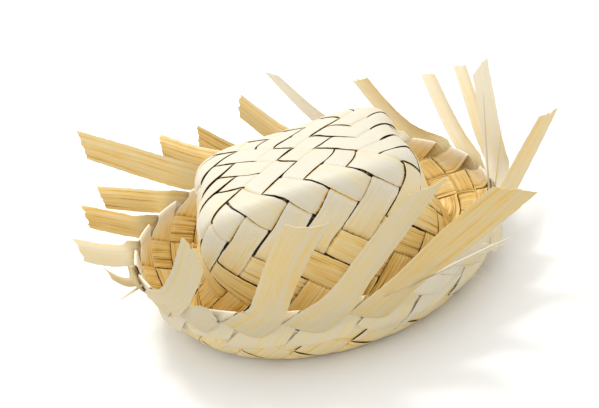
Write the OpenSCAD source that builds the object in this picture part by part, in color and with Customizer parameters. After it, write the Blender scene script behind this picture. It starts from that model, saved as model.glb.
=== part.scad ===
// Plaited palm-leaf hat: ten warp strips and ten weft strips cross on a square crown top,
// run down the crown walls on the bias and up the turned-up brim. At the rim one end of every
// strip runs out as a loose fringe and the other end folds over the edge and down the outside.
// Millimetres, +Z up, front of the hat towards -Y, origin at the centre of the head opening
// in the plane the hat stands on.

/* [Plait] */
// Centre-to-centre distance of neighbouring strips, which sets the head size
strip_pitch = 19; // [17.8:0.1:20.5]
// Strip width as a share of the pitch
strip_fill = 0.93; // [0.86:0.01:0.95]
// Thickness of one dried leaf strip
leaf_thickness = 0.45; // [0.3:0.05:0.55]
// Distance of a strip's middle from the woven surface, in front of it or behind it
weave_lift = 0.55; // [0.45:0.01:0.65]

/* [Crown] */
// Downward slope of the crown top where it meets the walls, in degrees
top_slope = 8; // [4:1:16]
// Slope of the crown walls, in degrees, 90 being upright
wall_slope = 80; // [76:1:86]
// How square the crown is: 0 is round, 1 is square
squareness = 0.9; // [0:0.05:1]
// Tilt of the crown top towards its high corner, as rise over run
crown_lean = 0.11; // [0:0.01:0.14]
// Distance the crown leans forward over the front of the brim
crown_shift = 5; // [0:1:10]

/* [Brim] */
// Rise of the brim just outside the crown, in degrees
brim_rise = 60; // [48:1:64]
// Rise of the brim at its rim, in degrees
rim_rise = 76; // [66:1:80]
// Drop of the rim towards the back right, as rise over run
rim_drop = 0.07; // [0:0.01:0.09]
// Height of the folded edge above the woven surface at the rim
fold_height = 1.6; // [1.2:0.1:3]
// How far a folded end runs down the outside, in strip pitches
fold_length = 1.5; // [0.8:0.1:2]

/* [Fringe] */
// Length of a typical loose end
fringe_length = 90; // [60:5:120]
// Diagonal cut at the tips, as a share of the strip width
tip_cut = 0.5; // [0:0.1:1]

/* [Hidden] */
strips_each_way = 10;
ring_cells = 2 * strips_each_way;      // strips of one direction crossing any level of the walls
ridge_row = strips_each_way / 2;       // row where the square top ends
wall_end_row = 11.4;                   // row where the wall starts to turn into the brim
brim_row = 13.9;                       // row where the turn is complete
round_row = 12.5;                      // row where the square crown has become round
settled_row = 12.9;                    // row where the lean of the crown has died out
rim_row = 16.5;                        // row of the folded edge
last_row = 17.5;                       // the profile runs on past the rim, for the roots of the fringe
half_fill = strip_fill / 2;
crossing_gap = (1 - strip_fill) / 2;   // half the slit between neighbours, where a strip changes side
lean_azimuth = -63;                    // the crown is highest at the front right
drop_azimuth = 38;                     // and the rim is lowest at the back right
fold_width = 0.55;                     // width of a folded edge, as a share of the strip
fold_offset = 0.22;                    // and its distance clockwise from the strip's middle
turn_slack = 1.7;                      // how much looser the weave is round the foot of the crown
shingle_start = 0.5;                   // clearance of the rim's outermost layers from the weave
shingle_rise = 0.6;                    // rise of those layers per half strip width
straw = [0.86, 0.76, 0.54];
bleached_straw = [0.94, 0.88, 0.72];

// One value for each loose end, going round the rim anticlockwise from the front left corner:
// length as a share of fringe_length, swing from straight out towards anticlockwise, and rise.
fringe_share = [0.25, 1.1, 1.15, 1.1, 0.6, 1.05, 1.2, 1.15, 1.0, 1.15,
                1.45, 1.2, 1.05, 0.95, 1.25, 0.7, 0.6, 0.55, 0.7, 0.6];
fringe_swing = [60, 50, 65, 55, 5, 55, 105, 95, 80, 90,
                90, 80, 70, 50, 40, 35, 25, 25, 55, 75];
fringe_rise = [60, 60, 55, 40, 5, 50, 50, 40, 35, 25,
               25, 15, 10, 15, 30, 20, 30, 30, 25, 60];

function ease(a, b, x) = let (t = min(1, max(0, (x - a) / (b - a)))) t * t * (3 - 2 * t);
function unit(p) = p / norm(p);
function mix(a, b, t) = a + (b - a) * t;

// The profile is walked row by row. A row is half a weave diamond, and rows are closer together
// where the ring is wider, because the strips keep their width.
function slope(m) = top_slope * ease(0, 4.2, m)
    + (wall_slope - top_slope) * ease(3.9, 6.1, m)
    - (brim_rise + wall_slope) * ease(wall_end_row, brim_row, m)
    - (rim_rise - brim_rise) * ease(brim_row, rim_row, m);
function ring_pitch(r) = max(2 * PI * r / ring_cells, 1.12 * strip_pitch);
function woven_step(m, r) = let (c = ring_pitch(r), tension = m < wall_end_row ? 0.96 : 1.23)
    tension * c / (2 * sqrt(pow(c / strip_pitch, 2) - 1));
top_step = 0.87 * strip_pitch;
function row_step(m, r) = m < ridge_row ? top_step
    : mix(top_step, woven_step(m, r), min(1, m - ridge_row));
profile_step = 0.125;
function walk(i, p) = let (m = (i + 0.5) * profile_step, g = row_step(m, p[0]) * profile_step)
    [p[0] + g * cos(slope(m)), p[1] - g * sin(slope(m))];
profile = [for (i = 0, p = [0, 0]; i * profile_step <= last_row; p = walk(i, p), i = i + 1)
    [i * profile_step, p[0], p[1]]];
radius_table = [for (p = profile) [p[0], p[1]]];
height_table = [for (p = profile) [p[0], p[2]]];
foot = min([for (p = profile) p[2]]);
foot_clearance = turn_slack * weave_lift + leaf_thickness;

// Woven surface at row m and ring position q (0 to ring_cells, anticlockwise from the front left)
function surface_at(m, q) = let (
    r = lookup(m, radius_table),
    z = lookup(m, height_table) - foot + foot_clearance,
    s = squareness * (1 - ease(ridge_row, round_row, m)),
    a = 360 * q / ring_cells,
    x = r * (cos(a) + s / 9 * cos(3 * a) + s / 25 * cos(5 * a)),
    y = r * (sin(a) - s / 9 * sin(3 * a) + s / 25 * sin(5 * a)),
    px = x * cos(135) + y * sin(135),
    py = -x * sin(135) + y * cos(135),
    leaning = 1 - ease(4, settled_row, m),
    lean = crown_lean * (px * cos(lean_azimuth) + py * sin(lean_azimuth)),
    drop = rim_drop * (px * cos(drop_azimuth) + py * sin(drop_azimuth)) * ease(13, rim_row, m))
    [px - 0.25 * crown_shift * leaning, py - crown_shift * leaning, z + lean * leaning - drop];
function row_direction(m, q) = unit(surface_at(m + 0.05, q) - surface_at(m - 0.05, q));
function ring_direction(m, q) = unit(surface_at(m, q + 0.05) - surface_at(m, q - 0.05));
function outward(m, q) = unit(cross(row_direction(m, q), ring_direction(m, q)));

// A strip lies along one lattice line. side is +1 or -1 for its two halves, turn is +1 where the
// strip climbs anticlockwise (it ends in the fringe) and -1 where it climbs clockwise (it folds).
function quarter(side, lane, warp) = let (
    east = warp ? side > 0 : lane > 0,
    north = warp ? lane > 0 : side > 0)
    (east ? (north ? 1.5 : 0.5) : (north ? 2.5 : 3.5)) * ridge_row;
function turn_of(side, lane, warp) = side * (lane > 0 ? 1 : -1) * (warp ? -1 : 1);
function ring_place(u, c, side, lane, warp) = let (
    turn = turn_of(side, lane, warp), m = u + c)
    quarter(side, lane, warp) + turn * (u - c) / 2 * ridge_row / min(max(m, 0.01), ridge_row);

// Which strip is in front: pairs of crossings alternate, and the last rows before the rim are plain
function climbing_in_front(m) = m == 14 ? false : m == 15 ? true : m == 16 ? false
    : m % 4 < 2;
// The weave opens a little where it is bent sharply round the foot of the crown.
function slack(m) = weave_lift * mix(1, turn_slack, ease(10.5, 11.7, m) * (1 - ease(13.6, 14.8, m)));
function in_front(m, turn) = turn > 0 ? climbing_in_front(m) : !climbing_in_front(m);
function lift(m, turn) = in_front(m, turn) ? slack(m) : -slack(m);

function shingle(w) = weave_lift + shingle_start + shingle_rise * (w + 1);

// The fold is gathered to about half the strip's width, beside the loose end it leans on.
function squeeze(across, gather) = mix(across, across * fold_width - fold_offset, gather);

// One point of a strip. u runs along the strip from the middle of the hat, v across it, off is the
// distance in front of the woven surface, slant turns the rung parallel to the rim, and gather
// narrows the strip where it is folded. Past the rim the same lattice line is reflected down the
// outside of the brim.
function strip_point(u, v, off, slant, gather, side, lane, warp) = let (
    turn = turn_of(side, lane, warp),
    squeezed = squeeze((lane > 0 ? 1 : -1) * v, gather),
    c = abs(lane) + squeezed,
    along = u - slant * squeezed,
    m = along + c,
    folds = turn < 0,
    row = folds && m > rim_row ? 2 * rim_row - m : m,
    q = ring_place(along, c, side, lane, warp),
    wrap = folds ? 180 * ease(rim_row - 0.16, rim_row + 0.16, m) : 0,
    n = outward(row, q),
    t = row_direction(row, q))
    surface_at(row, q) + (n * cos(wrap) + t * sin(wrap)) * off;

// A section is a row of three points on the front face and three on the back face.
function woven_section(u, off, side, lane, warp) =
    [for (v = [-half_fill, 0, half_fill]) [for (face = [0.5, -0.5])
        strip_point(u, v, off + face * leaf_thickness, 0, 0, side, lane, warp)]];

// Rungs of one half: two at every slit, where the strip changes side, and one in each cell.
function cell_rows(lane) = rim_row - 0.5 - abs(lane);
function cell_lift(k, lane, turn) = lift(round(k + 0.5 + abs(lane)), turn);
function woven_half(side, lane, warp, cells) = let (turn = turn_of(side, lane, warp))
    [for (k = [0 : cells - 1], f = [crossing_gap, 0.5, 1 - crossing_gap])
        woven_section(k + f, cell_lift(k, lane, turn), side, lane, warp)];

// The folded end: inside the brim, over the edge and down the outside.
function folded_end(side, lane, warp) = let (base = rim_row - abs(lane))
    [for (step = [[crossing_gap - 1, 0, 0], [-0.5, 0.5, 0.35], [-0.16, 1, 1], [-0.08, 1, 1], [0, 1, 1],
                  [0.08, 1, 1], [0.16, 1, 1], [0.5, 1, 0.6], [0.9, 1, 0.2], [fold_length, 1, 0]])
        [for (v = [-half_fill, 0, half_fill]) [for (face = [0.5, -0.5])
            let (w = squeeze((lane > 0 ? 1 : -1) * v, step[2]) / half_fill,
                 inside = weave_lift,
                 outside = shingle(w),
                 edge = mix(inside, outside, ease(-0.16, 0.2, step[0])),
                 crest = (fold_height - 0.5) * (1 - ease(0, 0.3, abs(step[0]))))
            strip_point(base + step[0], v, edge + crest + face * leaf_thickness,
                step[1], step[2], side, lane, warp)]]];

// The loose end: its root lies outside the brim, then it bends away towards its own direction.
function loose_root(side, lane, warp) = let (base = rim_row - abs(lane))
    [for (step = [crossing_gap - 1, -0.45, 0.1])
        [for (v = [-half_fill, 0, half_fill]) [for (face = [0.5, -0.5])
        let (w = v / half_fill * (lane > 0 ? -1 : 1))
        strip_point(base + step, v, -shingle(w) + face * leaf_thickness, 0, 0, side, lane, warp)]]];
function middle(section) = (section[1][0] + section[1][1]) / 2;
function rim_index(side, lane, warp) = let (
    q = ring_place(rim_row - abs(lane), abs(lane), side, lane, warp))
    floor(((q % ring_cells) + ring_cells) % ring_cells);
fringe_steps = 8;
bend_share = 0.5;                      // share of a loose end's length over which it turns away
function loose_end(side, lane, warp) = let (
    root = loose_root(side, lane, warp),
    start = root[2],
    j = rim_index(side, lane, warp),
    from = middle(start),
    t0 = unit(from - middle(root[1])),
    span = start[2][0] - start[0][0],
    azimuth = atan2(from[1], from[0]) + fringe_swing[j],
    t1 = [cos(fringe_rise[j]) * cos(azimuth), cos(fringe_rise[j]) * sin(azimuth), sin(fringe_rise[j])],
    reach = fringe_length * fringe_share[j],
    face0 = start[1][0] - start[1][1])
    concat(root, [for (i = [1 : fringe_steps]) let (
        s = i / fringe_steps,
        bend = min(1, s / bend_share),
        t = unit(mix(t0, t1, bend)),
        side_dir = unit(span - (span * t) * t),
        up_dir = unit(cross(side_dir, t)),
        face_dir = up_dir * face0 > 0 ? up_dir : -up_dir,
        turned = s - bend * bend_share + bend * bend * bend_share / 2,
        centre = from + reach * (t0 * (s - turned) + t1 * turned),
        cut = i == fringe_steps ? tip_cut * strip_pitch : 0)
        [for (v = [-half_fill, 0, half_fill]) [for (face = [0.5, -0.5])
            centre + side_dir * v * strip_pitch + t * cut * v + face_dir * face * leaf_thickness]]]);

function end_sections(side, lane, warp) = turn_of(side, lane, warp) > 0
    ? loose_end(side, lane, warp) : folded_end(side, lane, warp);
function half_sections(side, lane, warp) = concat(
    woven_half(side, lane, warp, cell_rows(lane)), end_sections(side, lane, warp));
function backwards(list) = [for (i = [len(list) - 1 : -1 : 0]) list[i]];

function ring_of(section) = [section[0][0], section[1][0], section[2][0],
    section[2][1], section[1][1], section[0][1]];

// A strip is one closed ribbon: six points a section, joined section to section.
module ribbon(sections, flip) {
    points = [for (s = sections, p = ring_of(s)) p];
    n = len(sections);
    // the back face (k = 3 and 4) is split along the same diagonals as the front, so that they stay apart
    walls = [for (i = [0 : n - 2], k = [0 : 5]) let (
        a = 6 * i + k, b = 6 * i + (k + 1) % 6, c = b + 6, d = a + 6)
        each (k == 3 || k == 4 ? [[a, b, d], [b, c, d]] : [[a, b, c], [a, c, d]])];
    e = 6 * (n - 1);
    first = [[0, 5, 1], [1, 5, 4], [1, 4, 2], [2, 4, 3]];
    last = [for (t = first) [e + t[0], e + t[2], e + t[1]]];
    faces = concat(walls, first, last);
    polyhedron(points = points, faces = flip ? [for (f = faces) [f[0], f[2], f[1]]] : faces);
}

module strip(lane, warp) {
    sections = concat(backwards(half_sections(-1, lane, warp)), half_sections(1, lane, warp));
    ribbon(sections, !warp);
}

module warp_strip(number) color(straw) strip(number - (strips_each_way + 1) / 2, true);
module weft_strip(number) color(bleached_straw) strip(number - (strips_each_way + 1) / 2, false);

warp_strip(1);  // warp_strip_01
warp_strip(2);  // warp_strip_02
warp_strip(3);  // warp_strip_03
warp_strip(4);  // warp_strip_04
warp_strip(5);  // warp_strip_05
warp_strip(6);  // warp_strip_06
warp_strip(7);  // warp_strip_07
warp_strip(8);  // warp_strip_08
warp_strip(9);  // warp_strip_09
warp_strip(10);  // warp_strip_10
weft_strip(1);  // weft_strip_01
weft_strip(2);  // weft_strip_02
weft_strip(3);  // weft_strip_03
weft_strip(4);  // weft_strip_04
weft_strip(5);  // weft_strip_05
weft_strip(6);  // weft_strip_06
weft_strip(7);  // weft_strip_07
weft_strip(8);  // weft_strip_08
weft_strip(9);  // weft_strip_09
weft_strip(10);  // weft_strip_10
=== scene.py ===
"""Looks of the plaited palm-leaf hat. Each CAD strip is replaced by a finely shaped leaf strip that lies on
the same weave lattice. Lengths are in metres, and lattice places are in rows and strip pitches."""
import math

import bpy
import numpy as np
from mathutils import Matrix, Vector


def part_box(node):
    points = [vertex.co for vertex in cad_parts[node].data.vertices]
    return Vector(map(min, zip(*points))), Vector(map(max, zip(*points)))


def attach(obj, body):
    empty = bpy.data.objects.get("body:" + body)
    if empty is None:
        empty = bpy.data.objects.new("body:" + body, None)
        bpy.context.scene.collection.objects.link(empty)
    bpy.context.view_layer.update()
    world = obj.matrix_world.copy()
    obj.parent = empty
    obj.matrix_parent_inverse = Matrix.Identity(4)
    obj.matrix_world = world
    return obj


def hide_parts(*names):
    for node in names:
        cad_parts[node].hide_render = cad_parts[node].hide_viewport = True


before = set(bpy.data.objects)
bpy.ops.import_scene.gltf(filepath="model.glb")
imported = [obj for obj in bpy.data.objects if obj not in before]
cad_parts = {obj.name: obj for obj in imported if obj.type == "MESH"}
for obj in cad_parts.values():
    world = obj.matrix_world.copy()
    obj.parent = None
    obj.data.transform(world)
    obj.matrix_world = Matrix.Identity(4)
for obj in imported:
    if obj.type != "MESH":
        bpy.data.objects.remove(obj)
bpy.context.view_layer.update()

# ---------------------------------------------------------------- lattice of the plait
# Rows count crossings outwards from the middle of the crown top. Ring places count cells anticlockwise from
# the front left corner. Pitches are widths from the middle of one strip to the middle of the next.
CROWN_TOP_PITCHES = 5.655               # height of the crown top above the ground, in pitches
crown_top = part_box("warp_strip_06")[1].z
PITCH = crown_top / CROWN_TOP_PITCHES
MM = PITCH / 19                         # the hat is drawn at a pitch of 19 mm, and grows with the frame

STRIPS_EACH_WAY = 10
RING_CELLS = 2 * STRIPS_EACH_WAY        # cells once round the hat
RIDGE_ROW = STRIPS_EACH_WAY / 2         # edge of the crown top
WALL_END_ROW = 11.4                     # where the wall starts to turn out
BRIM_ROW = 13.9                         # where the brim has turned up
RIM_ROW = 16.5                          # edge of the brim
PLAIN_ROW = 14                          # from here the plait goes over one and under one
TWILL = 2                               # before that it goes over two and under two

THICKNESS = 0.42 * MM
WEAVE_LIFT = 0.85 * MM                  # how far a strip stands in front of or behind the woven surface
TURN_SLACK = 1.3                        # the weave is looser where it bends round the foot of the crown
TURN_WIDTH = 0.085                      # rows over which a strip changes from front to back

# The profile, from the middle of the crown top down the wall and out to the rim.
PROFILE_TURNS = (                       # degrees turned downwards, first row, last row
    (8, 0, 4.2),                        # crown top
    (72, 4.1, 5.9),                     # ridge
    (-140, WALL_END_ROW, BRIM_ROW),     # foot of the wall
    (-16, BRIM_ROW, RIM_ROW),           # brim
)
TOP_ROW_STEP = 0.87                     # length of a row of the crown top, in pitches
NARROWEST_CELL = 1.12                   # cells are at least this wide in the wall and the brim, in pitches
WALL_TENSION = 0.96                     # how far the rows are stretched in the wall
BRIM_TENSION = 1.23                     # and in the brim

# The plan: a square crown that leans and stands off-centre in a round brim whose rim sags on one side.
SQUARENESS = 0.9                        # of the crown top: 1 has straight sides and 0 is round
ROUND_ROW = 12.5                        # from here the plan is round
FIRST_CORNER = math.radians(-135)       # azimuth of ring place 0
CROWN_LEAN = 0.11                       # rise of the crown towards LEAN_AZIMUTH, for each unit of distance
LEAN_AZIMUTH = math.radians(-63)
CROWN_SHIFT = (-1.25 * MM, -5 * MM)     # X and Y of the middle of the crown
LEAN_ROWS = (4, 12.9)                   # rows over which lean and shift fade out
RIM_DROP = 0.07                         # fall of the rim towards DROP_AZIMUTH, for each unit of distance
DROP_AZIMUTH = math.radians(38)
DROP_ROWS = (13, RIM_ROW)               # rows over which that fall sets in

# The width of the strips, which leaves slits open along two sides of the crown's ridge.
HALF_FILL = 0.93 / 2                    # half the width of a typical strip, in pitches
WIDTH_ROWS = (6.5, 8, 12)               # rows and the half widths there, in pitches
HALF_WIDTHS = (0.46, 0.468, 0.487)
PINCH = 0.03                            # how much narrower a strip is where it dives under another
SLIT = 0.2                              # how much narrower the strips are where the ridge gapes open
SLIT_ROW = 4.9                          # row where they gape most
SLIT_REACH = 1.0                        # rows over which the gaps fade out
SLIT_PLACES = ((17.8, 1.6, 1), (7.2, 2.2, 0.6))     # ring place, spread and strength: left and right


def ease(a, b, x):
    """A smooth step from 0 at a to 1 at b."""
    t = np.clip((np.asarray(x, float) - a) / (b - a), 0, 1)
    return t * t * (3 - 2 * t)


def mix(a, b, t):
    """The value a share t of the way from a to b."""
    return a + (b - a) * t


def unit(v):
    """Vectors of length 1 in the directions of v."""
    return v / np.maximum(np.linalg.norm(v, axis=-1, keepdims=True), 1e-12)


def slope(m):
    """Downward slope of the profile at row m, in degrees."""
    return sum(turn * ease(first, last, m) for turn, first, last in PROFILE_TURNS)


def row_step(m, radius):
    """Length of one row in pitches: rows close up where the ring of strips is wide."""
    if m < RIDGE_ROW:
        return TOP_ROW_STEP
    cell = max(2 * math.pi * radius / RING_CELLS, NARROWEST_CELL)
    tension = WALL_TENSION if m < WALL_END_ROW else BRIM_TENSION
    woven = tension * cell / (2 * math.sqrt(cell ** 2 - 1))
    return mix(TOP_ROW_STEP, woven, min(1, m - RIDGE_ROW))


def walk_profile(step=0.0625, last=18.5):
    """Rows, radii and heights along the profile, from the middle of the crown top to past the rim."""
    rows, radii, heights = [0.0], [0.0], [0.0]
    while rows[-1] < last:
        m = rows[-1] + step / 2
        g = row_step(m, radii[-1]) * step
        angle = math.radians(float(slope(m)))
        rows.append(rows[-1] + step)
        radii.append(radii[-1] + g * math.cos(angle))
        heights.append(heights[-1] - g * math.sin(angle))
    return np.array(rows), np.array(radii) * PITCH, np.array(heights) * PITCH


ROWS, RADII, HEIGHTS = walk_profile()
FOOT = HEIGHTS[ROWS < RIM_ROW].min() - TURN_SLACK * WEAVE_LIFT - 2 * THICKNESS      # height of the ground


def surface_at(m, q):
    """Points of the woven surface at row m and ring place q."""
    r = np.interp(m, ROWS, RADII)
    z = np.interp(m, ROWS, HEIGHTS) - FOOT
    # The first terms of a square's Fourier series make the plan square.
    square = SQUARENESS * (1 - ease(RIDGE_ROW, ROUND_ROW, m))
    a = 2 * math.pi * q / RING_CELLS
    x = r * (np.cos(a) + square / 9 * np.cos(3 * a) + square / 25 * np.cos(5 * a))
    y = r * (np.sin(a) - square / 9 * np.sin(3 * a) + square / 25 * np.sin(5 * a))
    px = x * math.cos(FIRST_CORNER) - y * math.sin(FIRST_CORNER)
    py = x * math.sin(FIRST_CORNER) + y * math.cos(FIRST_CORNER)
    leaning = 1 - ease(*LEAN_ROWS, m)
    lean = CROWN_LEAN * (px * math.cos(LEAN_AZIMUTH) + py * math.sin(LEAN_AZIMUTH)) * leaning
    drop = RIM_DROP * (px * math.cos(DROP_AZIMUTH) + py * math.sin(DROP_AZIMUTH)) * ease(*DROP_ROWS, m)
    return np.stack([px + CROWN_SHIFT[0] * leaning, py + CROWN_SHIFT[1] * leaning, z + lean - drop], -1)


def surface_axes(m, q, d=0.04):
    """Unit vectors along the rows, round the ring and out of the surface, from points d to each side."""
    along = unit(surface_at(m + d, q) - surface_at(m - d, q))
    ring = unit(surface_at(m, q + d) - surface_at(m, q - d))
    return along, ring, unit(np.cross(along, ring))


def half_width(m, q):
    """Half the width of a strip, in pitches: close in the brim, open in slits along the crown's ridge."""
    ridge = np.exp(-((m - SLIT_ROW) / SLIT_REACH) ** 2)
    half_ring = RING_CELLS / 2
    gape = sum(strength * np.exp(-(((q - place + half_ring) % RING_CELLS - half_ring) / spread) ** 2)
               for place, spread, strength in SLIT_PLACES)
    return np.interp(m, WIDTH_ROWS, HALF_WIDTHS) * (1 - SLIT * ridge * gape)


def climbing_in_front(m):
    """Whether the strip that climbs anticlockwise is in front at crossing row m."""
    if m >= PLAIN_ROW:
        return (m - PLAIN_ROW) % 2 == 1
    return m % (2 * TWILL) < TWILL


# ---------------------------------------------------------------- irregular hand work
class Wander:
    """A smooth random line: one value for each knot, eased between knots, from -1 to 1."""

    def __init__(self, rng, low, high, step):
        self.low, self.step = low, step
        self.values = rng.uniform(-1, 1, int((high - low) / step) + 3)

    def __call__(self, x):
        t = np.clip((np.asarray(x, float) - self.low) / self.step, 0, len(self.values) - 1.001)
        i = t.astype(int)
        f = t - i
        f = f * f * (3 - 2 * f)
        return self.values[i] * (1 - f) + self.values[i + 1] * f


WEFT_SEED = 50                          # seeds are the strip's number, and this much more for the weft
EDGE_WANDER = 0.06                      # how far an edge wanders, as a share of half the width
EDGE_NICK = 0.02                        # and how deep its fine nicks are
SMOOTH_ROWS = (10, 12)                  # rows over which the edges grow smoother, towards the brim
SMOOTHER = 0.6                          # by this share
RIBS = 6
RIB_HEIGHTS = (0.02 * MM, 0.09 * MM)    # of the lowest and the highest rib
RIB_WIDTH = 0.075                       # as a share of half the width of the strip
RIB_DRIFT = 0.06                        # how far ribs wander sideways, as the same share
TILT = 0.22 * MM                        # how far the edges of a strip tilt out of the weave
TOP_PUFF = 0.2 * MM                     # how far the middle of a strip bulges on the crown top
WALL_PUFF = 0.32 * MM                   # and elsewhere
PUFF_ROWS = (5, 7)                      # rows over which the one passes into the other
PUFF_WANDER = 0.12 * MM                 # how far the bulge wanders
SLACK_ROWS = (10.5, 11.7)               # rows over which the weave grows slack
TAUT_ROWS = (13.6, 14.8)                # rows over which it grows taut again


# ---------------------------------------------------------------- strips
class Strip:
    """One leaf strip: the lattice line it lies on and its own small irregularities."""

    def __init__(self, direction, number):
        self.name = f"{direction}_strip_{number:02d}"
        self.warp = direction == "warp"
        self.lane = number - (STRIPS_EACH_WAY + 1) / 2
        self.rim = RIM_ROW - abs(self.lane)         # distance from the middle to the rim, in pitches
        self.loose_side = 1 if self.turn(1) > 0 else -1
        self.rng = np.random.default_rng(number + (0 if self.warp else WEFT_SEED))
        reach = self.rim + 8                        # in pitches, past the tips of the loose ends

        def line(every):
            """A random line along the strip with a knot at every so many pitches."""
            return Wander(self.rng, -reach, reach, every)

        # Read at a fixed place, such a line also gives the strip one random number of its own.
        self.edges = [line(every=0.7), line(every=0.7)]
        self.tilt = line(every=1.0)
        self.puff = line(every=1.0)
        self.nick = line(every=0.16)
        self.shade = line(every=2.5)
        self.rib_places = (np.arange(RIBS) + self.rng.uniform(0.2, 0.8, RIBS)) / RIBS * 2 - 1
        self.rib_heights = self.rng.uniform(*RIB_HEIGHTS, RIBS)
        self.rib_drift = line(every=6)

    def turn(self, side):
        """+1 where this half climbs anticlockwise, -1 where it climbs clockwise."""
        return side * (1 if self.lane > 0 else -1) * (-1 if self.warp else 1)

    def quarter(self, side):
        """Ring place at the middle of the quarter of the hat that this half lies in."""
        east = side > 0 if self.warp else self.lane > 0
        north = self.lane > 0 if self.warp else side > 0
        quarters = {(True, True): 1.5, (True, False): 0.5, (False, True): 2.5, (False, False): 3.5}
        return quarters[(east, north)] * RIDGE_ROW

    def place(self, side, u, c):
        """Row and ring place of the lattice point u along and c across from the middle of the hat."""
        m = u + c
        spoke = np.clip(m, 0.01, RIDGE_ROW)         # never 0, so that it can divide
        turned = self.turn(side) * (u - c) / 2 * RIDGE_ROW / spoke
        return m, self.quarter(side) + turned

    def rim_index(self):
        """Number of this strip's loose end, counted as ring places are."""
        _, q = self.place(self.loose_side, self.rim, abs(self.lane))
        return int(math.floor(float(q) % RING_CELLS))

    def across(self, v, side, u, pinch=0):
        """Distance from the strip's middle, in pitches, of v (-1 to 1), with uneven edges."""
        m, q = self.place(side, u, abs(self.lane))
        along = side * u
        rough = 1 - SMOOTHER * ease(*SMOOTH_ROWS, m)
        left = 1 + rough * (EDGE_WANDER * self.edges[0](along) + EDGE_NICK * self.nick(along))
        right = 1 + rough * (EDGE_WANDER * self.edges[1](along) + EDGE_NICK * self.nick(along + 0.5))
        return half_width(m, q) * v * np.where(v < 0, left, right) * (1 - PINCH * pinch)

    def sign(self, side, cell):
        """+1 where the strip is in front in that cell (cell 0 touches the middle of the hat)."""
        row = round(cell + 0.5 + abs(self.lane))
        front = climbing_in_front(row)
        return 1 if front == (self.turn(side) > 0) else -1

    def level(self, side, u):
        """Distance in front of the woven surface, as a share of the weave's lift, along one half."""
        cells = int(round(self.rim))
        signs = [self.sign(-side, 0)] + [self.sign(side, k) for k in range(cells)]
        total = np.full_like(u, float(signs[0]))
        for k in range(cells):
            total = total + (signs[k + 1] - signs[k]) / 2 * (1 + np.tanh((u - k) / TURN_WIDTH))
        return total

    def relief(self, v, along):
        """Lengthwise ribs of the leaf."""
        height = np.zeros(np.broadcast(v, along).shape)
        drift = RIB_DRIFT * self.rib_drift(along)
        for place, size in zip(self.rib_places, self.rib_heights):
            height = height + size * np.exp(-((v - place - drift) / RIB_WIDTH) ** 2)
        return height

    def woven_offset(self, side, u, v):
        """Distance in front of the woven surface of a strip in the weave: lift, bulge, tilt and ribs."""
        level = self.level(side, u)
        m = u + abs(self.lane)
        slack = mix(1, TURN_SLACK, ease(*SLACK_ROWS, m) * (1 - ease(*TAUT_ROWS, m)))
        along = side * u
        offset = WEAVE_LIFT * slack * level
        puff = mix(TOP_PUFF, WALL_PUFF, ease(*PUFF_ROWS, m)) + PUFF_WANDER * self.puff(along)
        offset = offset + puff * (1 - v ** 2) * level * np.abs(level)
        offset = offset + TILT * self.tilt(along) * v * np.abs(level)
        return offset + self.relief(v, along)


# ---------------------------------------------------------------- one strip from fold to tip
COLUMNS = 24                            # cells across a strip
ROW_LENGTH = 1.5 * MM                   # spacing of the rungs of the mesh
OUTSIDE_RISE = 0.25 * MM                # rise of the layers outside the rim over half a strip, as shingles
TONE_WANDER = 0.07                      # how far the tone of a strip wanders along it
EDGE_PALING_AND_HIGHLIGHT = 0.2                         # how much paler the edges are: partly the cut edges' own paleness, partly a painted highlight on the edges
EDGE_FROM = 0.93                        # where the edges begin, as a share of half the width
SHADED_TONE = -0.9                      # tone of a strip seen deep down between two others
SHADED_LEVELS = (0.3, -0.7)             # levels between which a strip passes into that shade

# The folded end runs up the inside of the brim, over the rim and down the outside. Its places are distances
# past the rim in pitches, so they are negative inside.
FOLD_START = -0.93
FOLD_LENGTH = 1.65
FOLD_WIDTH = 0.62                       # width of a folded edge, as a share of the strip
FOLD_OFFSET = 0.18                      # how far it is gathered to one side, in pitches
SLANT_PLACES = (FOLD_START, -0.5, -0.16)
SLANTS = (0, 0.5, 1)                    # 1 where the rungs lie along the rim
GATHER_PLACES = (FOLD_START, -0.5, -0.16, 0.16, 0.5, 0.9, 1.5)
GATHERS = (0, 0.35, 1, 1, 0.6, 0.2, 0)  # 1 where the strip has its folded width
TIGHT_LOOP = 1.2 * MM                   # height of a folded edge above the rim
TIGHT_LOOP_WANDER = 0.35                # how unlike in height the tight loops are
TIGHT_TURN = 0.2                        # half the length over which a tight fold turns over, in rows
LOOSE_LOOP = 6 * MM                     # extra height of the loose loops
LOOSE_LOOP_WANDER = 0.4                 # and the loose ones
LOOSE_TURN = 0.22                       # and what looseness adds to it
LOOSE_LOOPS_AZIMUTH = 32                # where the loose loops stand, in degrees: the back right
LOOSE_LOOPS_SPREAD = 34                 # and how far to each side of it, in degrees
LOOP_FOOT = 1.9                         # where a loop rises from, in half turns
LOOP_LEAN = 0.45                        # how far it leans in over the brim, for each unit of height
FLARE = 5 * MM                          # how far the tip of a folded end stands off the brim
FLARE_WANDER = 3 * MM
FLARE_START = 0.85                      # where it starts to stand off
TIP_LENGTH_WANDER = 0.18                # how unlike in length folded ends are
TIP_SLANT = 0.28                        # how slanting their tips may be
TIP_POINT = 0.12                        # how pointed they are
FOLDED_LAYER = 0.55 * MM                # gap between the weave and the folded ends outside it
FOLDED_TONE = 0.8                       # tone of the folded ends outside the rim
FOLDED_WEAR = 0.75                      # and their dullness
TUCKED = (-0.6, -0.3)                   # where a folded end comes out of the weave
OVER_RIM = (-0.1, 0.5)                  # where it takes on the tone of the outside
WEAVE_FADES = (0, -0.5)                 # where its levels in the weave come to nothing, going outwards

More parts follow.
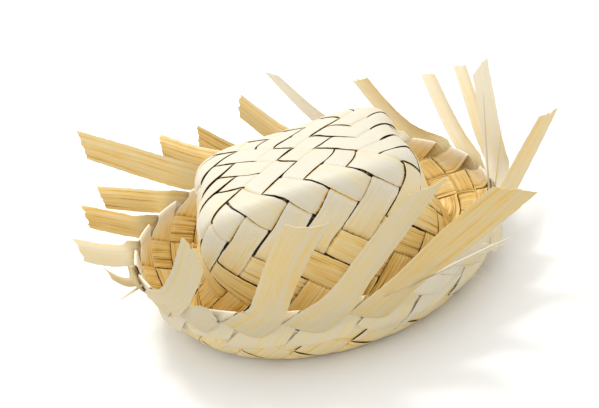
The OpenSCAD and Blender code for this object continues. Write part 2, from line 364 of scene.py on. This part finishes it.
# The loose end lies outside the weave at its root and then leaves the rim. Places along the root are
# distances past the rim in pitches too.
FRINGE_LENGTH = 90 * MM
LOOSE_LAYER = 2.0 * MM                  # gap between the weave and the roots of the loose ends
SLIPS_OUT = (-1.04, -0.8)               # where a root slips to the outside of the weave
ROOT_BARES = (-1.1, -0.8)               # where it takes on its own tone
ROOT_PAST = 0.1                         # how far past the rim the root reaches
TURN_SHARE = 0.55                       # share of its length over which a loose end turns about itself
WIDTH_SHARE = 0.3                       # share over which it takes its own width
SKEW_SHARE = 0.25                       # share over which the slanting rungs of the root come square
CURL_SHARE = 0.5                        # share over which its edges start to curl
CURL = 0.16                             # how far they curl, as a share of half the width
CURL_LEVEL = 0.4                        # how much of that the middle sinks
TONE_SHARE = 0.4                        # share of its length over which its tone changes
LOOSE_WANDER = 0.03                     # how far its edges wander, as the same share
EDGE_RUN = 20                           # pitches of the edge's random line that it runs through
RIB_RUN = (20, 5)                       # first place and run of its ribs on theirs
JAG_KNOTS = 0.18                        # spacing of the jags of a torn tip, as the same share
LINE_PAST = 1.4                         # centre lines run on past the tip, for slanted cuts
LINE_POINTS = 141                       # points on a centre line


def outside_layer(gap, w):
    """Distance behind the woven surface of a layer outside the rim, rising across a strip."""
    return WEAVE_LIFT + gap + OUTSIDE_RISE * (w + 1)


def azimuth_of(points):
    """Azimuth of the middle of some points, in degrees."""
    return math.degrees(math.atan2(points[..., 1].mean(), points[..., 0].mean()))


def aim_from(root, swing, rise):
    """Unit vector that leaves a point of the rim, swung from straight out and raised, in degrees."""
    azimuth = math.atan2(root[1], root[0]) + math.radians(swing)
    level = math.cos(math.radians(rise))
    return np.array([level * math.cos(azimuth), level * math.sin(azimuth), math.sin(math.radians(rise))])


def woven_rows(strip, side, u, v):
    """Points, rows and levels of one half at distances u (a column) from the middle of the hat."""
    outwards = np.sign(strip.lane)
    dive = 1 - strip.level(side, u) ** 2
    c = abs(strip.lane) + outwards * strip.across(v, side, u, dive)
    m, q = strip.place(side, u, c)
    out = surface_axes(m, q)[2]
    offset = strip.woven_offset(side, u, v)
    if side == strip.loose_side:
        outside = -outside_layer(LOOSE_LAYER, -outwards * v) + strip.relief(v, side * u)
        offset = mix(offset, outside, ease(*SLIPS_OUT, u - strip.rim))
    return surface_at(m, q) + out * offset[..., None], m, strip.level(side, u) + 0 * v


def folded_tip(strip, s, v):
    """Distances past the rim with the tip of the folded end cut slanting or to a point."""
    slant, point, length = strip.tilt(5.0), strip.puff(5.0), strip.shade(5.0)
    reach = 1 + TIP_LENGTH_WANDER * length + TIP_SLANT * slant * v - TIP_POINT * (1 + point) * np.abs(v)
    return np.where(s > 0, s * reach, s + 0 * v)


def folded_rows(strip, s, v):
    """Points, rows and levels of the folded end at distances s past the rim."""
    side = -strip.loose_side
    u = strip.rim + s
    slant = np.interp(s, SLANT_PLACES, SLANTS)
    gather = np.interp(s, GATHER_PLACES, GATHERS)
    outwards = np.sign(strip.lane) * strip.across(v, side, u)
    outwards = mix(outwards, outwards * FOLD_WIDTH - FOLD_OFFSET, gather)
    m, q = strip.place(side, u - slant * outwards, abs(strip.lane) + outwards)
    row = np.where(m > RIM_ROW, 2 * RIM_ROW - m, m)
    along, _, out = surface_axes(row, q)

    away = azimuth_of(surface_at(RIM_ROW, q[len(q) // 2])) - LOOSE_LOOPS_AZIMUTH
    away = (away + 180) % 360 - 180
    loose = math.exp(-(away / LOOSE_LOOPS_SPREAD) ** 2)
    loop = (TIGHT_LOOP * (1 + TIGHT_LOOP_WANDER * strip.puff(0.0))
            + LOOSE_LOOP * loose * (1 + LOOSE_LOOP_WANDER * strip.tilt(0.0)))
    half_turn = TIGHT_TURN + LOOSE_TURN * loose
    raised = loop * (1 - ease(0, LOOP_FOOT * half_turn, np.abs(s)))

    wrap = math.pi * ease(-half_turn, half_turn, m - RIM_ROW)
    turned = out * np.cos(wrap)[..., None] + along * np.sin(wrap)[..., None]
    flare = (FLARE + FLARE_WANDER * strip.tilt(1.0)) * ease(FLARE_START, FOLD_LENGTH, s)
    outside = outside_layer(FOLDED_LAYER, outwards / HALF_FILL) + strip.relief(v, side * u) + flare
    offset = mix(strip.woven_offset(side, u, v), outside, ease(-half_turn, half_turn, s))
    points = surface_at(row, q) + turned * offset[..., None] + (along + LOOP_LEAN * out) * raised[..., None]
    return points, m, strip.level(side, u) * ease(*WEAVE_FADES, s)


class LooseEnd:
    """How one loose end of the fringe lies and how its tip is cut."""

    def __init__(self, share, swing, rise, tilt=0, bend=0.35, droop=0, width=1, taper=0.1, cut=0.5,
                 ragged=0.05, tone=0.62, wear=1.0):
        self.share = share              # length as a share of FRINGE_LENGTH
        self.swing = swing              # degrees from straight out towards anticlockwise
        self.rise = rise                # degrees above level
        self.tilt = tilt                # degrees turned about its own length, from lying flat
        self.bend = bend                # share of its length over which it bends away from the rim
        self.droop = droop              # how far its middle hangs down, as a share of its length
        self.width = width              # width at the tip before the taper, as a share of the strip
        self.taper = taper              # how much narrower the tip is than the root
        self.cut = cut                  # slant of the tip from edge to edge, in pitches
        self.ragged = ragged            # unevenness of the tip, in pitches
        self.tone = tone                # 0 golden, 1 bleached
        self.wear = wear                # 0 fresh and bright, 1 dull
        self.root_tone = 0.4 + 0.5 * tone


# Going round the rim anticlockwise from the front left corner.
LOOSE_ENDS = [
    LooseEnd(0.2, 60, 30, tilt=-60, tone=0.9),
    LooseEnd(1.08, 66, 54, tilt=-68, bend=0.12, droop=-0.04, cut=1.1, width=1.25, taper=0),
    LooseEnd(1.15, 85, 45, tilt=-85, bend=0.15, cut=1.2, taper=0.2, tone=0.68),
    LooseEnd(1.25, 43, 40, tilt=-82, bend=0.3, cut=0.9, width=1.15, taper=0, tone=0.5),
    LooseEnd(0.4, 25, 25, tilt=-60, ragged=0.25, tone=0.95, wear=0.5),
    LooseEnd(1.05, 50, 50, tilt=-78, taper=0.3, tone=0.55, wear=0.7),
    LooseEnd(1.15, 100, 62, tilt=-42, bend=0.2, tone=0.9, wear=0.3),
    LooseEnd(1.2, 90, 36, tilt=-62, tone=0.8, wear=0.45),
    LooseEnd(1.1, 80, 28, tilt=-62, bend=0.2, droop=0.06, tone=0.82, wear=0.35),
    LooseEnd(1.15, 85, 25, tilt=-78, droop=0.12, tone=0.68, wear=0.6),
    LooseEnd(1.5, 85, 25, tilt=-84, bend=0.2, droop=0.18, taper=0.5, tone=1.15, wear=0.15),
    LooseEnd(1.3, 70, 15, tilt=-60, bend=0.2, droop=0.18, width=1.1, tone=0.4),
    LooseEnd(1.1, 65, 10, tilt=-55, bend=0.2, droop=0.18, width=1.1, tone=0.22),
    LooseEnd(1.05, 40, 10, tilt=-50, bend=0.2, droop=0.06, width=1.1, tone=0.22),
    LooseEnd(1.28, 35, 25, tilt=-50, width=1.3, cut=0.9, tone=0.42),
    LooseEnd(0.65, 35, 20, tilt=-50, bend=0.2, width=1.1, tone=0.24),
    LooseEnd(0.55, 20, 30, tilt=-50, tone=0.36),
    LooseEnd(0.5, 20, 30, tilt=-50, droop=0.06, tone=0.8, wear=0.4),
    LooseEnd(0.85, 70, 35, tilt=-75, droop=0.06, width=0.4, tone=0.7, wear=0.6),
    LooseEnd(0.8, 110, 45, tilt=85, bend=0.5, droop=0.12, ragged=0.1, width=1.2, taper=0, tone=0.75),
]


def loose_line(end, root, leaving, span):
    """Centre line of a loose end: shares of its length, points, and axes along, across and out of it."""
    aim = aim_from(root, end.swing, end.rise)
    share = np.linspace(0, LINE_PAST, LINE_POINTS)[:, None]
    bent = np.minimum(1, share / end.bend)
    turned = share - bent * end.bend + bent ** 2 * end.bend / 2
    sag = np.array([0, 0, end.droop]) * np.sin(share * math.pi)
    line = root + FRINGE_LENGTH * end.share * (leaving * (share - turned) + aim * turned - sag)
    tangent = unit(np.gradient(line, axis=0))
    flat = unit(np.cross(aim, [0, 0, 1]))
    flat = flat * np.sign(flat @ span)
    tilt = math.radians(end.tilt)
    flat = flat * math.cos(tilt) + np.cross(aim, flat) * math.sin(tilt)
    across = mix(unit(span), flat, ease(0, TURN_SHARE, share))
    across = unit(across - (across * tangent).sum(1, keepdims=True) * tangent)
    return share[:, 0], line, tangent, across, np.cross(tangent, across)


def loose_rows(strip, root, v):
    """Points, tones and distances of the loose end: it leaves along its root and then bends away."""
    end = LOOSE_ENDS[strip.rim_index()]
    middle = len(v) // 2
    leaving = unit(root[-1][middle] - root[-3][middle])
    span = (root[-1][-1] - root[-1][0]) / 2
    shares, line, tangent, across, out = loose_line(end, root[-1][middle], leaving, span)
    reach = FRINGE_LENGTH * end.share
    count = max(6, int(reach / ROW_LENGTH))
    s = np.linspace(0, 1, count + 1)[1:, None]
    jag = Wander(strip.rng, -1.1, 1.1, JAG_KNOTS)(v)
    distance = s * (reach + (end.cut / 2 * v + end.ragged * jag) * PITCH)

    def along_line(table):
        return np.stack([np.interp(distance / reach, shares, table[:, k]) for k in range(3)], -1)

    skew = float(span @ leaving)
    half = float(np.linalg.norm(span - skew * leaving))
    width = mix(half, PITCH * HALF_FILL * end.width, ease(0, WIDTH_SHARE, s)) * (1 - end.taper * s ** 2)
    width = width * (1 + LOOSE_WANDER * strip.edges[0](EDGE_RUN * s)) * v
    curl = CURL * (v ** 2 - CURL_LEVEL) * np.abs(width).max() * ease(0, CURL_SHARE, s) * (1 + strip.tilt(3.0))
    lift = curl + strip.relief(v, RIB_RUN[0] + RIB_RUN[1] * s)
    lean = skew * v * (1 - ease(0, SKEW_SHARE, s))
    points = along_line(line) + along_line(across) * width[..., None]
    points = points + along_line(out) * lift[..., None] + along_line(tangent) * lean[..., None]
    tone = mix(end.root_tone, end.tone, ease(0, TONE_SHARE, s)) + 0 * v
    return points, tone, distance


def outer_tone(m):
    """Tone of the side away from the head: paler on top, partly sun bleaching and partly a painted highlight
    where light falls from above; golden between the crown and the brim, partly fresh leaf and partly painted
    shade under the brim.
    """
    rows = [0, 4.6, 5.6, 6.5, 8, 11, 13, 15.6, 16.4]
    return np.interp(m, rows, [1.05, 1.0, 0.85, 0.68, 0.4, 0.12, 0.12, 0.25, 0.9])


def inner_tone(m):
    """Tone of the side towards the head, which is the underside of the brim."""
    return np.interp(m, [0, 11, 13, 15, 16.4], [0.4, 0.3, 0.4, 0.6, 0.9])


def woven_wear(m):
    """Dullness from weather: the top of the crown is worn, the sheltered wall and brim are fresh."""
    return np.interp(m, [0, 4.6, 6.2, 8], [0.8, 0.8, 0.1, 0])


def strip_sheet(strip):
    """Points, distances along, tones of both sides and wear of a strip, from its fold to its tip."""
    v = np.linspace(-1, 1, COLUMNS + 1)[None, :]
    side = strip.loose_side
    end = LOOSE_ENDS[strip.rim_index()]
    step = ROW_LENGTH / PITCH
    inner_end = strip.rim + FOLD_START
    outer_end = strip.rim + ROOT_PAST
    tail = folded_tip(strip, np.arange(FOLD_LENGTH, FOLD_START, -step / 2)[:, None], v)
    inner = np.linspace(inner_end, 0, int(inner_end / step), endpoint=False)[:, None]
    outer = np.linspace(0, outer_end, int(outer_end / step))[:, None]
    folded, m_folded, level_folded = folded_rows(strip, tail, v)
    fixed, m_fixed, level_fixed = woven_rows(strip, -side, inner, v)
    freed, m_freed, level_freed = woven_rows(strip, side, outer, v)
    loose, loose_tone, loose_distance = loose_rows(strip, freed, v[0])
    over = ease(*OVER_RIM, tail)
    bare = ease(*ROOT_BARES, outer - strip.rim) + 0 * v

    def graded(woven_value, folded_value, root_value, loose_values):
        """A value for each point: that of the weave runs into those of the two ends."""
        return np.concatenate([
            mix(woven_value(m_folded), folded_value, over),
            woven_value(m_fixed),
            mix(woven_value(m_freed), root_value, bare),
            loose_values])

    along = np.concatenate([
        -(strip.rim + tail) * PITCH,
        -inner * PITCH + 0 * v,
        outer * PITCH + 0 * v,
        outer_end * PITCH + loose_distance])
    level = np.concatenate([level_folded, level_fixed, level_freed, 0 * loose_tone])
    in_weave = np.concatenate([1 - ease(*TUCKED, tail), 1 + 0 * level_fixed, 1 - bare, 0 * loose_tone])
    # tone wanders along the strip, and its edges are paler: partly their own paleness, partly a painted
    # highlight
    varied = TONE_WANDER * strip.shade(along / PITCH) + EDGE_PALING_AND_HIGHLIGHT * (np.abs(v) > EDGE_FROM)
    tones = []
    for tone_of, facing in ((outer_tone, 1), (inner_tone, -1)):
        tone = graded(tone_of, FOLDED_TONE, end.root_tone, loose_tone)
        hidden = ease(*SHADED_LEVELS, facing * level) * in_weave
        tones.append(mix(tone, SHADED_TONE, hidden) + varied)
    wear = graded(woven_wear, FOLDED_WEAR, end.wear, end.wear + 0 * loose_tone)
    return np.concatenate([folded, fixed, freed, loose]), along, tones, wear


# ---------------------------------------------------------------- meshes
def grid_normals(points):
    """Unit normals of a grid of points."""
    down = np.gradient(points, axis=0)
    over = np.gradient(points, axis=1)
    return unit(np.cross(over, down))


class Shape:
    """Collects closed sheets and threads, and makes one mesh object of them."""

    def __init__(self):
        self.points, self.faces, self.coords, self.creases = [], [], [], []
        self.tones, self.wear = [], []
        self.count = 0

    def add(self, points, faces, along, across, tone, wear, creases):
        """Takes in one closed part, with its leaf coordinates, tone and wear at each point."""
        self.points.append(points)
        self.faces.append(faces + self.count)
        self.coords.append(np.stack([along, across], -1))
        self.tones.append(tone)
        self.wear.append(wear)
        self.creases.append(creases + self.count)
        self.count += len(points)

    def add_sheet(self, middle, along, tones, wear, thickness):
        """A closed sheet of even thickness round a grid of middle points, with its own tone on each side."""
        rows, columns = middle.shape[:2]
        normal = grid_normals(middle) * thickness / 2
        crown_row = np.abs(along[:, columns // 2]).argmin()
        if normal[crown_row, columns // 2, 2] < 0:
            tones = tones[::-1]
        both = np.concatenate([(middle + normal).reshape(-1, 3), (middle - normal).reshape(-1, 3)])
        index = np.arange(rows * columns).reshape(rows, columns)
        cells = np.stack([index[:-1, :-1], index[:-1, 1:], index[1:, 1:], index[1:, :-1]], -1).reshape(-1, 4)
        other = rows * columns
        ring = np.concatenate([index[0, :-1], index[:-1, -1], index[-1, :0:-1], index[:0:-1, 0]])
        after = np.roll(ring, -1)
        rim = np.stack([ring, ring + other, after + other, after], -1)
        faces = np.concatenate([cells, cells[:, ::-1] + other, rim])
        creases = np.concatenate([np.stack([ring, after], -1), np.stack([ring, after], -1) + other])
        across = np.broadcast_to(np.linspace(-1, 1, columns) * HALF_FILL * PITCH, along.shape)
        tone = np.concatenate([side.ravel() for side in tones])
        along, across, wear = (np.tile(values.ravel(), 2) for values in (along, across, wear))
        self.add(both, faces, along, across, tone, wear, creases)

    def sharp_edges(self, mesh):
        """Whether each edge of the mesh is one of the creases."""
        edges = np.empty(len(mesh.edges) * 2, np.int32)
        mesh.edges.foreach_get("vertices", edges)
        wanted = np.sort(np.concatenate(self.creases), 1).astype(np.int64)
        keys = np.sort(edges.reshape(-1, 2), 1).astype(np.int64)
        return np.isin(keys[:, 0] * self.count + keys[:, 1], wanted[:, 0] * self.count + wanted[:, 1])

    def make(self, name, material):
        """The mesh object, with the leaf's own coordinates and with tone and wear as attributes."""
        points = np.concatenate(self.points)
        faces = np.concatenate(self.faces)
        mesh = bpy.data.meshes.new(name)
        mesh.from_pydata(points, [], faces.tolist())
        corners = np.empty(len(mesh.loops), np.int32)
        mesh.loops.foreach_get("vertex_index", corners)
        layer = mesh.uv_layers.new(name="leaf")
        layer.data.foreach_set("uv", np.concatenate(self.coords)[corners].astype(np.float32).ravel())
        for label, values in (("tone", self.tones), ("wear", self.wear)):
            attribute = mesh.attributes.new(label, "FLOAT", "POINT")
            attribute.data.foreach_set("value", np.concatenate(values).astype(np.float32))
        mesh.shade_smooth()
        crease = mesh.attributes.new("sharp_edge", "BOOLEAN", "EDGE")
        crease.data.foreach_set("value", self.sharp_edges(mesh))
        mesh.materials.append(material)
        piece = bpy.data.objects.new(name, mesh)
        bpy.context.scene.collection.objects.link(piece)
        return piece


# ---------------------------------------------------------------- loose fibres
class Fibre:
    """A hair or sliver split off a leaf near the rim."""

    def __init__(self, place, rise, swing, length, curl=0.0, thickness=0.35, spread=1.0, tone=0.7):
        self.place = place              # ring place of its root
        self.rise = rise                # degrees above level
        self.swing = swing              # degrees from straight out towards anticlockwise
        self.length = length * MM
        self.curl = curl                # degrees it bends over its length
        self.thickness = thickness * MM
        self.spread = spread            # how many times wider than thick it is
        self.tone = tone                # 0 golden, 1 bleached


FIBRES = [
    Fibre(5.9, 62, 95, 92, curl=8, spread=4, tone=1.0),
    Fibre(5.7, 58, 72, 84, curl=-10, spread=2.5, tone=0.5),
    Fibre(5.3, 66, 60, 60, curl=12, thickness=0.25, tone=0.9),
    Fibre(6.3, 60, 130, 38, curl=60, thickness=0.25, tone=0.8),
    Fibre(7.2, 55, 150, 34, curl=-70, thickness=0.25, tone=0.8),
    Fibre(7.9, 40, 170, 30, curl=60, thickness=0.25, tone=0.8),
    Fibre(17.4, 75, 160, 38, curl=95, thickness=0.3, tone=0.5),
    Fibre(18.1, 62, 165, 34, curl=90, thickness=0.3, tone=0.5),
    Fibre(18.6, 40, 150, 26, curl=70, thickness=0.3, tone=0.6),
    Fibre(19.2, 45, 120, 22, curl=30, thickness=0.3),
    Fibre(18.4, 5, 30, 26, thickness=0.4, spread=9, tone=0.85),
    Fibre(3.4, 22, 62, 84, curl=5, thickness=0.4, spread=10, tone=1.0),
    Fibre(2.9, 14, 70, 70, curl=-6, thickness=0.3, spread=3, tone=1.0),
    Fibre(4.1, 6, 25, 42, curl=10, thickness=0.3, spread=2, tone=1.0),
    Fibre(4.4, 15, 10, 46, curl=-14, thickness=0.25, tone=1.0),
    Fibre(2.2, 62, 80, 40, curl=20, thickness=0.3, spread=2, tone=0.9),
    Fibre(1.3, 55, 70, 36, curl=-16, thickness=0.3, spread=2, tone=0.9),
]
FIBRE_SIDES = 6
FIBRE_RINGS = 24
FIBRE_ROOT = 0.25                       # rows that its root lies inside the rim
FIBRE_TAPER = 0.8                       # how much thinner its tip is than its root
ROOT_CAP = [[0, 3, 2, 1], [0, 5, 4, 3]]     # the six-sided ends as two halves
TIP_CAP = [[0, 1, 2, 3], [0, 3, 4, 5]]


def add_fibre(shape, fibre):
    """A tapering, slightly flattened tube with closed ends, rooted just inside the rim."""
    root = surface_at(RIM_ROW - FIBRE_ROOT, fibre.place)
    aim = aim_from(root, fibre.swing, fibre.rise)
    side = unit(np.cross(aim, [0, 0, 1]))
    bend = np.cross(side, aim)
    t = np.linspace(0, 1, FIBRE_RINGS)[:, None]
    turned = math.radians(fibre.curl) * t
    tangent = aim * np.cos(turned) - bend * np.sin(turned)
    middle = root + np.cumsum(tangent, axis=0) * fibre.length / FIBRE_RINGS
    across = np.cross(tangent, side)
    slim = fibre.thickness / 2 * (1 - FIBRE_TAPER * t ** 3)
    angle = np.arange(FIBRE_SIDES) / FIBRE_SIDES * 2 * math.pi
    ring = (side * (fibre.spread * slim))[:, None] * np.cos(angle)[:, None]
    ring = ring + (across * slim)[:, None] * np.sin(angle)[:, None]
    points = (middle[:, None] + ring).reshape(-1, 3)
    index = np.arange(FIBRE_RINGS * FIBRE_SIDES).reshape(FIBRE_RINGS, FIBRE_SIDES)
    after = np.roll(index, -1, axis=1)
    walls = np.stack([index[:-1], after[:-1], after[1:], index[1:]], -1).reshape(-1, 4)
    faces = np.concatenate([walls, index[0][ROOT_CAP], index[-1][TIP_CAP]])
    along = np.repeat(t[:, 0] * fibre.length, FIBRE_SIDES)
    tone = np.full(len(points), fibre.tone)
    no_creases = np.empty((0, 2), int)
    shape.add(points, faces, along, 0 * along, tone, np.ones(len(points)), no_creases)


# ---------------------------------------------------------------- materials
# Colours of the leaf from deep shade through golden to bleached: place on the ramp and colour.
LEAF_COLOURS = (
    (0.1, (0.035, 0.02, 0.008, 1)),
    (0.42, (0.50, 0.31, 0.08, 1)),
    (0.56, (0.90, 0.60, 0.17, 1)),
    (0.70, (0.93, 0.73, 0.33, 1)),
    (0.84, (0.88, 0.77, 0.50, 1)),
    (1.0, (0.82, 0.79, 0.70, 1)),
)
DULLED = (0.73, 0.70, 0.61, 1)          # what wear does to a colour
SEEN_THROUGH = (1, 0.88, 0.55, 1)       # what passing through the leaf does to light
LIGHT_THROUGH = 0.25                    # share of the light that passes through
FIBRE_GRAIN = 1.4                       # strength in the tone of fine fibres, ribs and blotches
RIB_GRAIN = 1.1
BLOTCH_GRAIN = 0.45
BLEACHED_GRAIN = 0.55                   # how much of the grain is lost where the leaf is bleached
RELIEF = 0.5 * MM                       # depth of the grain as relief


class Nodes:
    """Builds the shader nodes of one material."""

    def __init__(self, name):
        self.material = bpy.data.materials.new(name)
        self.material.use_nodes = True
        self.tree = self.material.node_tree
        self.tree.nodes.clear()

    def add(self, kind, inputs, **values):
        """A node with its settings, and with its inputs set to values or linked to sockets."""
        made = self.tree.nodes.new(kind)
        for key, value in values.items():
            setattr(made, key, value)
        for key, value in inputs.items():
            if isinstance(value, bpy.types.NodeSocket):
                self.tree.links.new(value, made.inputs[key])
            else:
                made.inputs[key].default_value = value
        return made

    def maths(self, operation, a, b):
        return self.add("ShaderNodeMath", {0: a, 1: b}, operation=operation).outputs[0]

    def attribute(self, name):
        return self.add("ShaderNodeAttribute", {}, attribute_name=name).outputs["Fac"]

    def tinted(self, colour, tint, share):
        """A colour multiplied by a tint, to a share of its effect."""
        inputs = {"Factor": share, "A": colour, "B": tint}
        mixed = self.add("ShaderNodeMix", inputs, data_type="RGBA", blend_type="MULTIPLY")
        return mixed.outputs["Result"]

    def streaks(self, place, per_metre_along, per_metre_across, detail):
        """Noise from -0.5 to 0.5, drawn out along the leaf."""
        scale = (per_metre_along, per_metre_across, 1)
        stretched = self.add("ShaderNodeMapping", {"Vector": place, "Scale": scale}).outputs[0]
        inputs = {"Vector": stretched, "Scale": 1, "Detail": detail}
        noise = self.add("ShaderNodeTexNoise", inputs, noise_dimensions="2D")
        return self.maths("SUBTRACT", noise.outputs[0], 0.5)


def leaf_colour(nodes, tone_shift, grains):
    """Colour from the tone of the leaf, its grain and its wear."""
    tone = nodes.attribute("tone")
    total = nodes.maths("ADD", tone, tone_shift)
    contrast = nodes.maths("SUBTRACT", 1.0, nodes.maths("MULTIPLY", tone, BLEACHED_GRAIN))
    for grain, strength in grains:
        part = nodes.maths("MULTIPLY", nodes.maths("MULTIPLY", grain, strength), contrast)
        total = nodes.maths("ADD", total, part)
    place = nodes.maths("ADD", nodes.maths("MULTIPLY", total, 0.5), 0.5)    # tone -1 to 1 as 0 to 1
    ramp = nodes.add("ShaderNodeValToRGB", {0: place})
    elements = ramp.color_ramp.elements
    for element, (position, colour) in zip(elements, (LEAF_COLOURS[0], LEAF_COLOURS[-1])):
        element.position = position
        element.color = colour
    for position, colour in LEAF_COLOURS[1:-1]:
        elements.new(position).color = colour
    return nodes.tinted(ramp.outputs[0], DULLED, nodes.attribute("wear"))


def leaf_material(name, tone_shift):
    """Dried palm leaf: fine fibres, broader ribs and blotches, a satin surface that lets light through."""
    nodes = Nodes(name)
    place = nodes.add("ShaderNodeUVMap", {}, uv_map="leaf").outputs[0]
    fibre = nodes.streaks(place, 25, 1500, 2)
    rib = nodes.streaks(place, 7, 420, 1)
    blotch = nodes.streaks(place, 60, 150, 3)
    grains = ((fibre, FIBRE_GRAIN), (rib, RIB_GRAIN), (blotch, BLOTCH_GRAIN))
    colour = leaf_colour(nodes, tone_shift, grains)
    half_fibre = nodes.maths("MULTIPLY", fibre, 0.5)
    height = nodes.maths("ADD", half_fibre, rib)
    bump = nodes.add("ShaderNodeBump", {"Strength": 0.7, "Distance": RELIEF, "Height": height})
    surface = nodes.add("ShaderNodeBsdfPrincipled", {
        "Base Color": colour,
        "Specular IOR Level": 0.35,
        "Roughness": nodes.maths("ADD", half_fibre, 0.5),
        "Normal": bump.outputs[0]})
    glow = nodes.add("ShaderNodeBsdfTranslucent", {"Color": nodes.tinted(colour, SEEN_THROUGH, 1)})
    blend = nodes.add("ShaderNodeMixShader", {0: LIGHT_THROUGH, 1: surface.outputs[0], 2: glow.outputs[0]})
    nodes.add("ShaderNodeOutputMaterial", {0: blend.outputs[0]})
    return nodes.material


# ---------------------------------------------------------------- the hat
LEAVES = {                              # slot and shift in tone of each direction
    "warp": ("straw", -0.03),
    "weft": ("bleached_straw", 0.03),
}
for direction, (slot, tone_shift) in LEAVES.items():
    material = leaf_material(slot, tone_shift)
    for number in range(1, STRIPS_EACH_WAY + 1):
        strip = Strip(direction, number)
        shape = Shape()
        shape.add_sheet(*strip_sheet(strip), THICKNESS)
        for fibre in FIBRES:
            if int(fibre.place) == strip.rim_index():
                add_fibre(shape, fibre)
        piece = shape.make("leaf_" + strip.name, material)
        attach(piece, "root")
        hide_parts(strip.name)


# ---------------------------------------------------------------- studio
def make_floor():
    """A plain pale floor under the hat."""
    size = 12 * crown_top
    mesh = bpy.data.meshes.new("floor")
    corners = [(-size, -size, 0), (size, -size, 0), (size, size, 0), (-size, size, 0)]
    mesh.from_pydata(corners, [], [(0, 1, 2, 3)])
    material = bpy.data.materials.new("floor")
    material.use_nodes = True
    shader = material.node_tree.nodes["Principled BSDF"]
    shader.inputs["Base Color"].default_value = (0.74, 0.735, 0.72, 1)
    shader.inputs["Roughness"].default_value = 0.9
    shader.inputs["Specular IOR Level"].default_value = 0.1
    mesh.materials.append(material)
    floor = bpy.data.objects.new("floor", mesh)
    bpy.context.scene.collection.objects.link(floor)


def make_light(name, place, size, power):
    """A soft area light aimed at the middle of the crown."""
    data = bpy.data.lights.new(name, "AREA")
    data.size = size
    data.energy = power
    light = bpy.data.objects.new(name, data)
    light.location = place
    aim = Vector((0, 0, crown_top / 2)) - Vector(place)
    light.rotation_mode = "QUATERNION"
    light.rotation_quaternion = aim.to_track_quat("-Z", "Y")
    bpy.context.scene.collection.objects.link(light)


def make_world(strength):
    """Even white light from all round."""
    world = bpy.data.worlds.new("studio")
    world.use_nodes = True
    background = world.node_tree.nodes["Background"]
    background.inputs["Color"].default_value = (1, 1, 1, 1)
    background.inputs["Strength"].default_value = strength
    bpy.context.scene.world = world


def make_camera():
    """The camera looks slightly down at the front of the hat and is rolled to its right."""
    azimuth, elevation, roll = math.radians(-1.3), math.radians(27.3), math.radians(-14.8)
    pivot = Vector((0, 0, 0.455 * crown_top))
    distance = 7.18 * crown_top
    back = Vector((math.sin(azimuth) * math.cos(elevation), -math.cos(azimuth) * math.cos(elevation),
                   math.sin(elevation)))
    right = Vector((math.cos(azimuth), math.sin(azimuth), 0))
    up = back.cross(right)
    camera_x = right * math.cos(roll) + up * math.sin(roll)
    camera_y = up * math.cos(roll) - right * math.sin(roll)
    data = bpy.data.cameras.new("camera")
    data.lens = 62.7
    data.shift_x, data.shift_y = -0.0204, 0.0123
    camera = bpy.data.objects.new("camera", data)
    camera.matrix_world = Matrix.LocRotScale(
        pivot + back * distance, Matrix([camera_x, camera_y, back]).transposed().to_quaternion(), None)
    bpy.context.scene.collection.objects.link(camera)
    bpy.context.scene.camera = camera


WORLD_STRENGTH = 1.38
KEY_POWER = 10                          # watts

make_floor()
make_world(WORLD_STRENGTH)
make_light("key", (-2 * crown_top, 6 * crown_top, 9 * crown_top), 3 * crown_top, KEY_POWER)
make_camera()
bpy.context.scene.view_settings.view_transform = "Standard"
